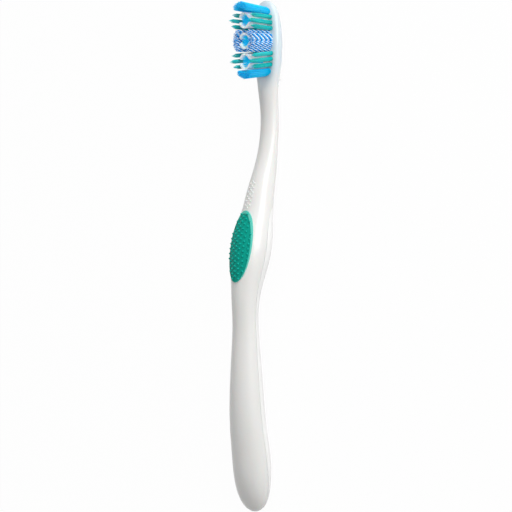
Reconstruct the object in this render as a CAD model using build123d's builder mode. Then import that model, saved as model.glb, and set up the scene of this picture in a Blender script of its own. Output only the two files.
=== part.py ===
from build123d import *
import os
from math import cos, pi, radians, sin, sqrt, tan

# A manual toothbrush with three polishing cups, lying on its back.
# X runs along the brush with the head at +X, Y goes to its left, and Z is the way the
# bristles point. Z = 0 is the surface that the brush lies on. Sizes are in millimetres.

# ------------------------------------------------------------------ overall
overall_length = 190.0        # end of the tail to the toe of the head
toe_x = overall_length / 2
tail_x = -overall_length / 2

# ------------------------------------------------------------------ head
toe_overhang = 15.1           # middle cup to the toe end of the head
head_x = toe_x - toe_overhang
face_z = 7.7                  # bristle face above the resting plane, at the middle cup
head_tilt = 3.8               # degrees that the face rises towards the toe
head_width = 13.7
head_z = 5.7                  # widest level of the head
head_back_z = 1.25            # back of the hard head above the resting plane
head_squareness = 4.5         # how flat the bristle face is across, 2 would be an ellipse
toe_length = 18.0             # stretch over which the toe rounds off
toe_rise = 1.2                # its widest level rises this much over that stretch
head_reach = 18.4             # middle cup to the end of the head at the neck

# ------------------------------------------------------------------ neck and handle
neck_x = head_x - 29.9
neck_width, neck_thickness, neck_z = 8.0, 5.8, 3.15
belly_x = 3.5                 # thickest place, under the thumb pad
belly_width, belly_thickness, belly_z = 15.6, 14.5, 10.0
waist_x = -26.0               # slimmest place behind the thumb pad
waist_width, waist_thickness, waist_z = 10.7, 8.9, 11.8
tail_width, tail_thickness, tail_z = 16.2, 12.8, 6.95
tail_length = 21.0            # stretch over which the tail rounds off
tail_drop = 2.6               # the tail's tip lies this much under tail_z

# ------------------------------------------------------------------ soft grips
thumb_grip_x = 3.35
thumb_grip_length = 26.7
thumb_grip_width = 11.5       # measured across, seen from the front
thumb_grip_rise = 0.35        # its rim stands proud of the handle
thumb_rim_side = 0.5          # width of its rim at the sides
thumb_rim_head = 1.1          # and towards the head
thumb_rim_tail = 0.4          # and towards the tail
thumb_grip_dish = 0.25        # its field lies under the rim
thumb_grip_depth = 1.6
thumb_seat_z = 12.2           # deepest level of its pocket in the handle
grip_clearance = 0.03
back_grip_depth = 1.3
back_grip_front_x = 22.0      # where it starts on the back of the neck
back_grip_end_gap = 1.6       # where it stops before the end of the tail
parting_drop = 0.6            # parting line under the middle of the handle
parting_groove = 0.14
parting_start = [(0.0, -2.0), (1.6, 2.8), (5.5, 6.3)]     # behind its front end, and height
parting_level_x = belly_x + 8  # from here to the tail it runs along the middle of the side

# ------------------------------------------------------------------ tongue cleaner
cleaner_x = head_x - 4.1
cleaner_length = 27.0
cleaner_width = 9.6
cleaner_depth = 1.0
cleaner_skin = 0.5            # its sheet stands proud of the hard back
cleaner_ridges = 5
cleaner_ridge_pitch = 3.0
cleaner_ridge_length = 4.0
cleaner_ridge_width = 1.1
cleaner_clearance = 0.03

# ------------------------------------------------------------------ cups and tufts
cup_pitch = 7.6
cup_radius = 2.75             # outside, at the bristle face
cup_wall = 0.85
cup_flare = 0.3
cup_height = 9.3
cup_root = 1.8                # depth of its ring in the head
cup_skirt = 1.8               # height at which the petals part
cup_lip = 0.15                # the petals' tips are this much thinner
petal_rounding = 0.8
cup_slit = 0.4                # gaps between petals, along the brush
cup_gap = 1.3                 # gaps between petals, across the brush
cup_clearance = 0.05

tuft_depth = 2.8
tuft_clearance = 0.03
hole_run_out = 1.0            # the holes are cut this far past the bristle face
tuft_tip = 0.3                # radius of a pointed tuft's end
side_tuft_radius = 0.8
side_tuft_spread = 0.1
side_tuft_taper = 1.6         # length of the pointed end
side_tuft_lean = 6.0          # degrees, outwards
side_tuft_rake = 4.7          # degrees, towards the toe or the heel
cup_tuft_radius = 1.5
cup_tuft_spread = 0.35
cup_tuft_height = 8.8
cup_tuft_bevel = 0.4          # length over which its tips draw in again

spiral_radius = 4.4           # middle of the ring of twisted bristles
spiral_thickness = 1.4
spiral_half_angle = 45.0
spiral_height = 10.6
spiral_spread = 0.2

toe_tuft_radius = 4.2         # middle of its crescent, about the toe cup
toe_tuft_half_angle = 40.0
toe_tuft_thickness = 2.1
toe_tuft_height = 11.6
toe_tuft_rake = 8.0
heel_tuft_radius = 4.55       # middle of its crescent, about the heel cup
heel_tuft_half_angle = 38.0
heel_tuft_thickness = 2.1
heel_tuft_height = 10.0
heel_tuft_rake = 6.0
crescent_spread = 0.1
arc_tuft_bevel = 0.8          # length and width of the bevel round a curved tuft's tips
arc_tuft_bevel_width = 0.7

anchor_thickness = 0.3
anchor_height = 1.5
anchor_end_gap = 0.05         # from an anchor's ends to the wall of its hole

# Side tufts from the toe to the heel: place along the head, place across it, and height.
side_tuft_places = [(8.8, 4.0, 11.0), (6.7, 4.25, 12.2), (4.6, 4.4, 11.2),
                    (-4.6, 4.4, 11.2), (-6.7, 4.25, 12.2), (-8.8, 4.0, 11.0)]
cup_places = {"toe": cup_pitch, "middle": 0.0, "heel": -cup_pitch}
ABOVE = 20.0                  # height that clears everything on the head
section_points = 16           # points of each section across the handle


# ------------------------------------------------------------------ form of the handle
head_plane = Plane(
    origin=(head_x, 0, face_z),
    x_dir=(cos(radians(head_tilt)), 0, sin(radians(head_tilt))),
    z_dir=(-sin(radians(head_tilt)), 0, cos(radians(head_tilt))),
)


def between(start, end, share):
    return start + (end - start) * share


def round_station(x, z, width, thickness):
    return (x, z, width, thickness / 2, thickness / 2, 2.0)


def head_station(x, z, width, back_z, squareness):
    face = face_z + (x - head_x) * tan(radians(head_tilt))
    return (x, z, width, face - z, z - back_z, squareness)


def cross_section(x, z, width, front, back, squareness, inset=0.0):
    """One closed section across the handle: round behind, flatter in front."""
    points = []
    for step in range(section_points):
        angle = 2 * pi * step / section_points
        power, height = (squareness, front) if sin(angle) > 0 else (2.0, back)
        reach = (abs(cos(angle)) ** power + abs(sin(angle)) ** power) ** (-1 / power)
        points.append(Vector(
            reach * cos(angle) * (width / 2 - inset),
            reach * sin(angle) * (height - inset),
        ))
    with BuildSketch(Plane(origin=(x, 0, z), x_dir=(0, 1, 0), z_dir=(1, 0, 0))) as section:
        with BuildLine():
            # The same even parameters in every section keep the loft's surface light.
            add(Edge.make_spline(points, periodic=True, parameters=list(range(section_points + 1))))
        make_face()
    return section.sketch


def end_sections(start, length, z_shift, width_power, front_power, back_power, inset):
    """Sections that round the form off from a station to its small flat end."""
    x, z, width, front, back, squareness = start
    angles = (18, 36, 54, 70, 84)
    reaches = [sin(radians(angle)) ** (2 / width_power) for angle in angles]
    full_x = (length - (inset if length > 0 else -inset)) / reaches[-1]
    sections = []
    for reach in reaches:
        sections.append(cross_section(
            x + reach * full_x,
            z + reach * z_shift,
            2 * inset + (width - 2 * inset) * (1 - reach ** width_power) ** 0.5,
            inset + (front - inset) * (1 - reach ** front_power) ** 0.5,
            inset + (back - inset) * (1 - reach ** back_power) ** 0.5,
            squareness + (2.0 - squareness) * reach,
            inset,
        ))
    return sections


head_start = head_station(toe_x - toe_length, head_z, head_width, head_back_z, head_squareness)
tail_start = round_station(tail_x + tail_length, tail_z, tail_width, tail_thickness)
neck_start = round_station(head_x - head_reach, 4.45, 9.3, 5.6)
stations = [
    head_start,
    head_station(head_x - head_reach / 2, 5.15, 12.4, 1.4, 4.0),
    head_station(between(head_x, neck_start[0], 0.755), 4.85, 10.6, 1.85, 3.0),
    neck_start,
    round_station(between(neck_start[0], neck_x, 0.39), 3.85, 8.4, 5.7),
    round_station(neck_x, neck_z, neck_width, neck_thickness),
    round_station(between(neck_x, belly_x, 0.15), 3.35, 8.0, 6.1),
    round_station(between(neck_x, belly_x, 0.29), 4.0, 8.4, 7.3),
    round_station(between(neck_x, belly_x, 0.43), 5.2, 9.3, 8.9),
    round_station(between(neck_x, belly_x, 0.57), 6.6, 10.8, 10.0),
    round_station(between(neck_x, belly_x, 0.72), 7.8, 12.4, 11.2),
    round_station(between(neck_x, belly_x, 0.86), 9.1, 14.5, 13.4),
    round_station(belly_x, belly_z, belly_width, belly_thickness),
    round_station(between(belly_x, waist_x, 0.23), 10.9, 14.8, 13.6),
    round_station(between(belly_x, waist_x, 0.455), 11.7, 12.8, 11.4),
    round_station(between(belly_x, waist_x, 0.68), 12.2, 11.3, 9.7),
    round_station(waist_x, waist_z, waist_width, waist_thickness),
    round_station(between(waist_x, tail_start[0], 0.22), 11.1, 11.7, 10.2),
    round_station(between(waist_x, tail_start[0], 0.5), 10.2, 13.5, 11.7),
    round_station(between(waist_x, tail_start[0], 0.78), 8.8, 15.2, 12.4),
    tail_start,
]


def handle_sections(inset=0.0):
    toe = end_sections(head_start, toe_length, toe_rise, 4.0, 8.0, 2.4, inset)
    tail = end_sections(tail_start, -tail_length, -tail_drop, 4.0, 2.0, 2.0, inset)
    middle = [cross_section(*station, inset) for station in stations]
    return toe[::-1] + middle + tail


with BuildPart() as handle_form:
    loft(sections=handle_sections(), clean=False)
with BuildPart() as back_floor:
    loft(sections=handle_sections(back_grip_depth), clean=False)
with BuildPart() as thumb_floor:
    loft(sections=handle_sections(thumb_grip_depth), clean=False)
with BuildPart() as thumb_rim_form:
    loft(sections=handle_sections(-thumb_grip_rise), clean=False)
with BuildPart() as thumb_field_form:
    loft(sections=handle_sections(thumb_grip_dish - thumb_grip_rise), clean=False)

with BuildPart() as cleaner_form:
    loft(sections=handle_sections(-cleaner_skin), clean=False)
with BuildPart() as cleaner_floor:
    loft(sections=handle_sections(cleaner_depth), clean=False)


# ------------------------------------------------------------------ thumb grip
def thumb_column(head_margin, tail_margin, side_margin):
    """Upright oval over the thumb grip, wider than it by a margin at each end and side."""
    length = thumb_grip_length + head_margin + tail_margin
    with BuildPart() as column:
        with BuildSketch(Plane.XY.offset(thumb_seat_z)):
            with Locations((thumb_grip_x + (head_margin - tail_margin) / 2, 0)):
                Ellipse(length / 2, thumb_grip_width / 2 + side_margin)
        extrude(amount=ABOVE)
    return column.part


with BuildPart() as thumb_dish:
    add(thumb_column(-thumb_rim_head, -thumb_rim_tail, -thumb_rim_side))
    add(thumb_field_form.part, clean=False, mode=Mode.SUBTRACT)

with BuildPart() as thumb_grip:
    add(thumb_column(0, 0, 0))
    add(thumb_rim_form.part, clean=False, mode=Mode.INTERSECT)
    add(thumb_floor.part, clean=False, mode=Mode.SUBTRACT)
    add(thumb_dish.part, clean=False, mode=Mode.SUBTRACT)

with BuildPart() as thumb_pocket:
    add(thumb_column(grip_clearance, grip_clearance, grip_clearance))
    add(thumb_floor.part, clean=False, mode=Mode.SUBTRACT)


# ------------------------------------------------------------------ back grip
def parting_prism(groove):
    """Everything behind the parting line, seen from the side, raised by the groove."""
    start_x = back_grip_front_x + groove
    end_x = tail_x + back_grip_end_gap - groove
    along = [station for station in stations if station[0] < parting_level_x]
    line = [(start_x - behind, z) for behind, z in parting_start]
    line += [(x, z - parting_drop + groove) for x, z, *sizes in along]
    line += [(end_x, tail_z - tail_drop - parting_drop + groove)]
    with BuildPart() as prism:
        with BuildSketch(Plane.XZ):
            with BuildLine():
                Spline(*line)
                Polyline(line[-1], (end_x, line[0][1]), line[0])
            make_face()
        extrude(amount=tail_width, both=True)
    return prism.part


with BuildPart() as back_grip:
    add(handle_form.part, clean=False)
    add(parting_prism(0), clean=False, mode=Mode.INTERSECT)
    add(back_floor.part, clean=False, mode=Mode.SUBTRACT)

with BuildPart() as back_pocket:
    add(parting_prism(parting_groove))
    add(back_floor.part, clean=False, mode=Mode.SUBTRACT)


# ------------------------------------------------------------------ tongue cleaner
def cleaner_column(margin):
    """Upright oval over the tongue cleaner, from under the brush into the head."""
    with BuildPart() as column:
        with BuildSketch(Plane.XY.offset(-1)):
            with Locations((cleaner_x, 0)):
                Ellipse(cleaner_length / 2 + margin, cleaner_width / 2 + margin)
        extrude(amount=face_z - tuft_depth)
    return column.part


with BuildPart() as tongue_cleaner:
    add(cleaner_form.part, clean=False)
    add(cleaner_column(0), clean=False, mode=Mode.INTERSECT)
    with BuildSketch(Plane.XY):
        with Locations((cleaner_x, 0)):
            with GridLocations(cleaner_ridge_pitch, 0, cleaner_ridges, 1):
                SlotOverall(cleaner_ridge_length, cleaner_ridge_width, rotation=90)
    extrude(amount=head_back_z + cleaner_depth, clean=False)
    add(cleaner_floor.part, clean=False, mode=Mode.SUBTRACT)

with BuildPart() as cleaner_pocket:
    add(cleaner_column(cleaner_clearance))
    add(cleaner_floor.part, clean=False, mode=Mode.SUBTRACT)


# ------------------------------------------------------------------ polishing cups
def cup_ring(along, margin, top):
    """Ring in the head that a cup stands in."""
    with BuildPart() as ring:
        with BuildSketch(head_plane.offset(-cup_root)):
            with Locations((along, 0)):
                Circle(cup_radius + margin)
                Circle(cup_radius - cup_wall - margin, mode=Mode.SUBTRACT)
        extrude(amount=cup_root + top)
    return ring.part


def polishing_cup(along):
    """Ring of four petals on a short skirt, a little wider at its rim."""
    middle = head_plane.from_local_coords((along, 0, 0))
    inner, outer = cup_radius - cup_wall, cup_radius
    with BuildPart() as cup:
        with BuildSketch(Plane(origin=middle, x_dir=head_plane.x_dir, z_dir=-head_plane.y_dir)):
            with BuildLine():
                Polyline(
                    (inner, -cup_root),
                    (outer, -cup_root),
                    (outer, cup_skirt),
                    (outer + cup_flare, cup_height),
                    (inner + cup_flare + cup_lip, cup_height),
                    (inner, cup_skirt),
                    close=True,
                )
            make_face()
        revolve(axis=Axis(middle, head_plane.z_dir))
        with BuildSketch(head_plane.offset(cup_skirt)):
            with Locations((along, 0)):
                Rectangle(cup_gap, 4 * cup_radius)
                Rectangle(4 * cup_radius, cup_slit)
        extrude(amount=cup_height, mode=Mode.SUBTRACT)
        upright = Axis(middle, head_plane.z_dir)
        fillet(cup.edges().filter_by(GeomType.LINE).group_by(upright)[-1], petal_rounding)
    return cup.part


# ------------------------------------------------------------------ tufts and their anchors
def leaning_plane(along, across, outwards, rake):
    """Plane in the bristle face, turned so that its normal leans along and across the head."""
    lean_x, lean_y = sin(radians(rake)), sin(radians(outwards))
    return Plane(
        origin=head_plane.from_local_coords((along, across, 0)),
        x_dir=head_plane.x_dir - head_plane.z_dir * lean_x,
        z_dir=head_plane.x_dir * lean_x + head_plane.y_dir * lean_y + head_plane.z_dir,
    )


def round_tuft(plane, radius, spread, height, taper, tip, notch):
    """Bundle from the bottom of its hole to its tips, notched over its anchor."""
    with BuildPart() as tuft:
        levels = ((-tuft_depth, radius), (0, radius), (height - taper, radius + spread), (height, tip))
        for level, level_radius in levels:
            with BuildSketch(plane.offset(level)):
                Circle(level_radius)
        loft(ruled=True)
        with BuildSketch(plane.offset(-tuft_depth)):
            Rectangle(*notch)
        extrude(amount=anchor_height, mode=Mode.SUBTRACT)
    return tuft.part


def arc_slot(plane, radius, middle_angle, half_angle, thickness, centre_x):
    """Curved slot about a point behind the plane's origin."""
    arc = CenterArc((centre_x, 0), radius, middle_angle - half_angle, 2 * half_angle)
    with BuildSketch(plane) as slot:
        SlotArc(arc, thickness)
    return slot.sketch


def arc_tuft(plane, radius, middle_angle, half_angle, thickness, centre_x, height, spread):
    """Curved bundle with the same slot shape from its root to its tips."""
    levels = (
        (-tuft_depth, thickness),
        (0, thickness),
        (height - arc_tuft_bevel, thickness + spread),
        (height, thickness - arc_tuft_bevel_width),
    )
    sections = [
        arc_slot(plane.offset(level), radius, middle_angle, half_angle, width, centre_x)
        for level, width in levels
    ]
    with BuildPart() as tuft:
        loft(sections=sections, ruled=True)
    return tuft.part


side_planes, side_heights = {}, {}
for side, sign in (("left", 1), ("right", -1)):
    for number, (along, across, height) in enumerate(side_tuft_places, start=1):
        name = f"side_tuft_{side}_{number}"
        rake = side_tuft_rake if along > 0 else -side_tuft_rake
        side_planes[name] = leaning_plane(along, sign * across, sign * side_tuft_lean, rake)
        side_heights[name] = height

side_notch = (anchor_thickness, 2 * (side_tuft_radius - anchor_end_gap))
cup_notch = (2 * (cup_tuft_radius - anchor_end_gap), anchor_thickness)
cup_planes = {name: leaning_plane(along, 0, 0, 0) for name, along in cup_places.items()}

side_tufts = {}
for name, plane in side_planes.items():
    side_tufts[name] = round_tuft(plane, side_tuft_radius, side_tuft_spread, side_heights[name],
                                  side_tuft_taper, tuft_tip, side_notch)

cups, cup_tufts = {}, {}
for name, plane in cup_planes.items():
    cups[name] = polishing_cup(cup_places[name])
    cup_tufts[name] = round_tuft(plane, cup_tuft_radius, cup_tuft_spread, cup_tuft_height,
                                 cup_tuft_bevel, cup_tuft_radius, cup_notch)

# Each crescent or ring bundle: plane, radius, middle angle, half angle, thickness, centre, height.
toe_plane = leaning_plane(cup_pitch + toe_tuft_radius, 0, 0, toe_tuft_rake)
heel_plane = leaning_plane(-cup_pitch - heel_tuft_radius, 0, 0, -heel_tuft_rake)
ring_plane = leaning_plane(0, 0, 0, 0)
arc_shapes = {
    "toe_tuft": (toe_plane, toe_tuft_radius, 0, toe_tuft_half_angle, toe_tuft_thickness,
                 -toe_tuft_radius, toe_tuft_height),
    "heel_tuft": (heel_plane, heel_tuft_radius, 180, heel_tuft_half_angle, heel_tuft_thickness,
                  heel_tuft_radius, heel_tuft_height),
    "spiral_tuft_left": (ring_plane, spiral_radius, 90, spiral_half_angle, spiral_thickness,
                         0, spiral_height),
    "spiral_tuft_right": (ring_plane, spiral_radius, 270, spiral_half_angle, spiral_thickness,
                          0, spiral_height),
}


def crescent_anchor(radius, half_angle, thickness, direction):
    """Place along the crescent's plane and length of its straight anchor."""
    offset = radius * cos(radians(0.75 * half_angle))
    end_x = radius * cos(radians(half_angle))
    end_y = radius * sin(radians(half_angle))
    reach = end_y + sqrt((thickness / 2) ** 2 - (offset - end_x) ** 2) - anchor_end_gap
    return direction * (offset - radius), 2 * reach


with BuildPart() as side_tuft_anchors:
    for plane in side_planes.values():
        with BuildSketch(plane.offset(-tuft_depth)):
            Rectangle(*side_notch)
        extrude(amount=anchor_height)

with BuildPart() as cup_tuft_anchors:
    for plane in cup_planes.values():
        with BuildSketch(plane.offset(-tuft_depth)):
            Rectangle(*cup_notch)
        extrude(amount=anchor_height)

with BuildPart() as end_tuft_anchors:
    for plane, radius, half_angle, thickness, direction in (
        (toe_plane, toe_tuft_radius, toe_tuft_half_angle, toe_tuft_thickness, 1),
        (heel_plane, heel_tuft_radius, heel_tuft_half_angle, heel_tuft_thickness, -1),
    ):
        place, length = crescent_anchor(radius, half_angle, thickness, direction)
        with BuildSketch(plane.offset(-tuft_depth)):
            with Locations((place, 0)):
                Rectangle(anchor_thickness, length)
        extrude(amount=anchor_height)

with BuildPart() as spiral_tuft_anchors:
    for middle_angle in (90, 270):
        with BuildSketch(ring_plane.offset(-tuft_depth)):
            with PolarLocations(spiral_radius, 2, middle_angle - spiral_half_angle / 2,
                                spiral_half_angle, endpoint=True):
                Rectangle(spiral_thickness - 2 * anchor_end_gap, anchor_thickness)
        extrude(amount=anchor_height)

arc_tufts = {}
for name, (plane, radius, middle, half, thickness, centre_x, height) in arc_shapes.items():
    anchors = spiral_tuft_anchors if name.startswith("spiral") else end_tuft_anchors
    spread = spiral_spread if name.startswith("spiral") else crescent_spread
    with BuildPart() as bundle:
        add(arc_tuft(plane, radius, middle, half, thickness, centre_x, height, spread))
        add(anchors.part, mode=Mode.SUBTRACT)
    arc_tufts[name] = bundle.part

# ------------------------------------------------------------------ hard core
round_holes = [(plane, side_tuft_radius) for plane in side_planes.values()]
round_holes += [(plane, cup_tuft_radius) for plane in cup_planes.values()]

with BuildPart() as head_holes:
    for along in cup_places.values():
        add(cup_ring(along, cup_clearance, hole_run_out))
    for plane, radius in round_holes:
        with BuildSketch(plane.offset(-tuft_depth)):
            Circle(radius + tuft_clearance)
        extrude(amount=tuft_depth + hole_run_out)
    for plane, radius, middle, half, thickness, centre_x, height in arc_shapes.values():
        add(arc_slot(plane.offset(-tuft_depth), radius, middle, half, thickness + 2 * tuft_clearance,
                     centre_x))
        extrude(amount=tuft_depth + hole_run_out, dir=plane.z_dir)

with BuildPart() as handle_core:
    add(handle_form.part, clean=False)
    add(thumb_pocket.part, clean=False, mode=Mode.SUBTRACT)
    add(back_pocket.part, clean=False, mode=Mode.SUBTRACT)
    add(cleaner_pocket.part, clean=False, mode=Mode.SUBTRACT)
    add(head_holes.part, clean=False, mode=Mode.SUBTRACT)

# ------------------------------------------------------------------ pieces
pieces = {
    "handle_core": handle_core.part,
    "thumb_grip": thumb_grip.part,
    "back_grip": back_grip.part,
    "tongue_cleaner": tongue_cleaner.part,
    "side_tuft_anchors": side_tuft_anchors.part,
    "cup_tuft_anchors": cup_tuft_anchors.part,
    "end_tuft_anchors": end_tuft_anchors.part,
    "spiral_tuft_anchors": spiral_tuft_anchors.part,
}
pieces.update({f"polishing_cup_{name}": cup for name, cup in cups.items()})
pieces.update({f"cup_tuft_{name}": tuft for name, tuft in cup_tufts.items()})
pieces.update(arc_tufts)
pieces.update(side_tufts)

os.makedirs("parts", exist_ok=True)
for name, piece in pieces.items():
    piece.label = name
    export_step(piece, f"parts/{name}.step")
    print(f"{name:22} {len(piece.solids())} solids  {piece.volume:9.2f} mm3  valid {piece.is_valid}")
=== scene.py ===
"""Finishes a manual toothbrush: the filaments of its tufts, its nubs and its materials.

The brush lies on its back. X runs along it with the head at +X, Y goes to its left and Z is the
way the bristles point. Everything is in metres and sits on the frame's own pieces.
"""

import math

import bpy
from bpy.props import FloatProperty, FloatVectorProperty, IntProperty, PointerProperty
from bpy.types import Operator, Panel, PropertyGroup
from mathutils import Matrix, Vector


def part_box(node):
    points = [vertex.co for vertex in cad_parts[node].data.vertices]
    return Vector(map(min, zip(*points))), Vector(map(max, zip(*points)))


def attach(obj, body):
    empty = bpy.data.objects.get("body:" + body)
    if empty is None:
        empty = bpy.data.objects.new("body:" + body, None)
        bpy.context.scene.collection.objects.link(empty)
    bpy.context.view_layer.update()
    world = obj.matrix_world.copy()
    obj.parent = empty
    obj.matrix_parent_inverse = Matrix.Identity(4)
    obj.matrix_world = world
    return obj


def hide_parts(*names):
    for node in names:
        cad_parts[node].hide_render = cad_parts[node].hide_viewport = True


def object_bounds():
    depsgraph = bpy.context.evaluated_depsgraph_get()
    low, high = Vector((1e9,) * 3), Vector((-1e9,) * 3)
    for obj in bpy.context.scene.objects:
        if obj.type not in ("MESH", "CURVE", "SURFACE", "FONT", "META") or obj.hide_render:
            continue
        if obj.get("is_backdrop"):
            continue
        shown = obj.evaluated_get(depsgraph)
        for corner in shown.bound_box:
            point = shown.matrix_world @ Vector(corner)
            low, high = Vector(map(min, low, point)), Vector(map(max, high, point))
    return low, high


bl_info = {
    "name": "Manual Toothbrush",
    "version": (1, 0, 0),
    "blender": (4, 5, 0),
    "location": "3D View > Sidebar > Toothbrush",
    "description": "Grows the bristles and finishes the mouldings of a manual toothbrush",
    "category": "Add Mesh",
}

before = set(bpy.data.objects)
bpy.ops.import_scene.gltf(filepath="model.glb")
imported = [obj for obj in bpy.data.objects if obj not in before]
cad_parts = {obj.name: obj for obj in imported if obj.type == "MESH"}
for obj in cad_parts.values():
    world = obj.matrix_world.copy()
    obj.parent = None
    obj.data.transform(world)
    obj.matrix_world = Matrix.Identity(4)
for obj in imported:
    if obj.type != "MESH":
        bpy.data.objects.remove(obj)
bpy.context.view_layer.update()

MM = 0.001
BODY = "root"
SIDES = {"left": 1, "right": -1}
CUPS = ("toe", "middle", "heel")
SIDE_TUFTS = range(1, 7)
TOE_SIDE_TUFTS = (1, 2, 3)
ANCHORED = ("side", "cup", "end", "spiral")  # kinds of tufts, each with a node of anchors

# The head
HEAD_TILT = math.radians(3.8)  # how far the bristle face rises towards the toe
HOLE_DEPTH = 2.8 * MM  # of the tufts' holes
CUP_ROOT = 1.8 * MM  # depth of the grooves that the cups stand in
SHOWN_ROOT = 0.8 * MM  # filaments start this far down their holes
ROOT_LAYER = 0.02 * MM  # a node's points this near to its lower end are its root

# The way tufts grow
GROWTH_ATTRIBUTES = ("root", "drift", "edge", "chance", "phase", "upright")
SEEDS = {"side": 10, "cup": 40, "end": 50, "ring": 60}  # added to the seed of the settings
DENSEST = 2e8  # roots per square metre before the spacing thins them
FILAMENT_STEPS, FILAMENT_SIDES = 5, 6
TWIST_STRANDS, TWIST_STEPS, TWIST_SIDES = 3, 72, 4
STRAND_REACH = 0.52  # from a twisted bristle's axis to a strand's, in strands
POINT_CURVE = 1.3  # above 1, a tuft's point is blunt
SPLAY_CURVE = 1.5  # above 1, filaments lean out more at their tips
STRAY_CURVE = 2.0  # the same for a filament that strays
TIP_START = 0.8  # share of its length from which a filament narrows
TIP_WIDTH = 0.6  # share of its width at its tip
DISC_STEPS, ARC_STEPS = 24, 16  # round a disc, and along a curved tuft
END_WIDTH_SQUARED = 0.02  # of a curved tuft's last step, as a share
NUB_SEGMENTS, NUB_RINGS = 12, 7
RAY_LENGTH = 1.0  # further than any field of nubs starts from its surface

# Features of the finishes, per metre
PEARL_CLOUDS, PEARL_GRAIN = 30.0, 4000.0
RUBBER_MOTTLE, RUBBER_PITS, RUBBER_GRAIN = 180.0, 2500.0, 3000.0
CUP_MOTTLE, CUP_GRAIN = 250.0, 500.0
NYLON_GRAIN = 900.0
BRASS_STREAKS, BRASS_GRAIN = 900.0, 1200.0

# Other measures of the finishes
RUBBER_PIT_DEPTH = 0.02 * MM
RIM_START = 0.985  # the pad's light rim starts at this share of its oval
# painted shade: filaments are darker near their roots, where the tuft shades them
ROOT_SHADE = 3 * MM  # filaments are darker up to this height over the head's face
DARK_ROOT, DARK_FILAMENT, LIGHT_FILAMENT = 0.85, 0.88, 0.06

# The studio: each lamp's direction, distance and width
LAMPS = {
    "key": ((0.42, -1.0, 0.32), 0.8, 0.5),
    "head": ((1.0, -0.35, 0.45), 0.9, 0.35),
    "top": ((-0.2, 0.3, 1.0), 0.9, 0.8),
}
FLOOR_REACH = 3.0
SENSOR_WIDTH = 36.0  # millimetres
CLIP_START, CLIP_END = 0.01, 20.0


# ------------------------------------------------------------------ settings
def length(name, description, default):
    """A size in metres, given in millimetres."""
    return FloatProperty(name=name, description=description, default=default * MM, min=0.0,
                         precision=5, unit="LENGTH")


def angle(name, description, default):
    """An angle, given in degrees."""
    return FloatProperty(name=name, description=description, default=math.radians(default),
                         subtype="ANGLE")


def ratio(name, description, default, unit="NONE"):
    """A share, or a number in a unit."""
    return FloatProperty(name=name, description=description, default=default, min=0.0,
                         precision=3, unit=unit)


def colour(name, description, default):
    """A linear colour."""
    return FloatVectorProperty(name=name, description=description, default=default, size=3,
                               min=0.0, max=1.0, subtype="COLOR")


class BristleSettings(PropertyGroup):
    """Sizes of the filaments and of the tufts they stand in."""

    filament: length("Filament", "Diameter of a plain filament", 0.19)
    spacing: length("Spacing", "Least distance between filaments at their roots", 0.185)
    jitter: length("Uneven tips", "How much shorter the shortest filament is", 0.25)
    stray: length("Stray", "How far a filament's tip strays to a side", 0.12)
    side_radius: length("Side tuft radius", "Radius of a side tuft at its root", 0.72)
    side_splay: length("Side splay", "How far a side tuft widens all round", 0.02)
    side_point: length("Side point", "Length of a side tuft's point", 2.1)
    side_lean: angle("Side lean", "Lean of the side tufts outwards", 6.0)
    side_rake: angle("Side rake", "Rake of the side tufts towards toe or heel", 4.7)
    cup_radius: length("Cup tuft radius", "Radius of a tuft in a cup at its root", 1.5)
    cup_splay: length("Cup splay", "How far a tuft in a cup widens all round", 0.6)
    crescent: length("Crescent", "Thickness of the toe and heel tufts", 2.1)
    crescent_splay: length("Crescent splay", "How far these tufts thicken to each side", 0.1)
    toe_radius: length("Toe radius", "Middle of the toe tuft, about the toe cup", 4.2)
    toe_half_angle: angle("Toe half angle", "Half of the arc that the toe tuft fills", 40.0)
    toe_rake: angle("Toe rake", "Rake of the toe tuft over the toe", 8.0)
    heel_radius: length("Heel radius", "Middle of the heel tuft, about the heel cup", 4.55)
    heel_half_angle: angle("Heel half angle", "Half of the arc that the heel tuft fills", 38.0)
    heel_rake: angle("Heel rake", "Rake of the heel tuft towards the handle", 4.2)
    ring_radius: length("Ring radius", "Middle of the ring of twisted bristles", 4.4)
    ring_half_angle: angle("Ring half angle", "Half of the arc of one twisted tuft", 45.0)
    ring_thickness: length("Ring thickness", "Thickness of the twisted tufts", 1.4)
    ring_splay: length("Ring splay", "How far the twisted tufts open at their tips", 0.2)
    strand: length("Strand", "Diameter of one strand of a twisted bristle", 0.33)
    twist_pitch: length("Twist pitch", "Length of one turn of a twisted bristle", 2.3)
    twist_spacing: length("Twist spacing", "Least distance between twisted bristles", 0.58)
    twist_slant: ratio("Twist slant", "Turns of phase from the ring's middle to its end", 1.9)
    seed: IntProperty(name="Seed", description="Seed of the filaments' places", default=11)


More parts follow.
